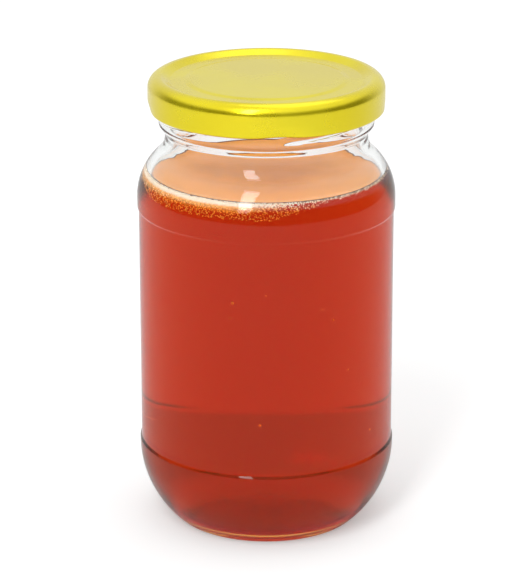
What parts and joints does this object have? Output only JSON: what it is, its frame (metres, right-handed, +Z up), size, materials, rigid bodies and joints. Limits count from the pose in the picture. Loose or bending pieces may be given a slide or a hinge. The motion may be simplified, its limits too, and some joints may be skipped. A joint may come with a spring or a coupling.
{
  "type": "honey jar",
  "caption": "Clear glass jar with rounded shoulders and heel, nearly full of red-amber honey and closed by a gold lug lid.",
  "frame": {"origin": "middle of the face that the jar stands on", "axes": "+Z up along the jar's axis, -Y towards the front, +X to the right"},
  "size_m": [0.0728, 0.0728, 0.13],
  "materials": {
    "glass": "clear and smooth",
    "honey": "clear liquid honey, deep red-amber",
    "lacquered_tinplate": "glossy gold lacquer on tinplate"
  },
  "bodies": {
    "root": {"jar": "glass", "honey": "honey", "lid": "lacquered_tinplate"}
  },
  "joints": []
}
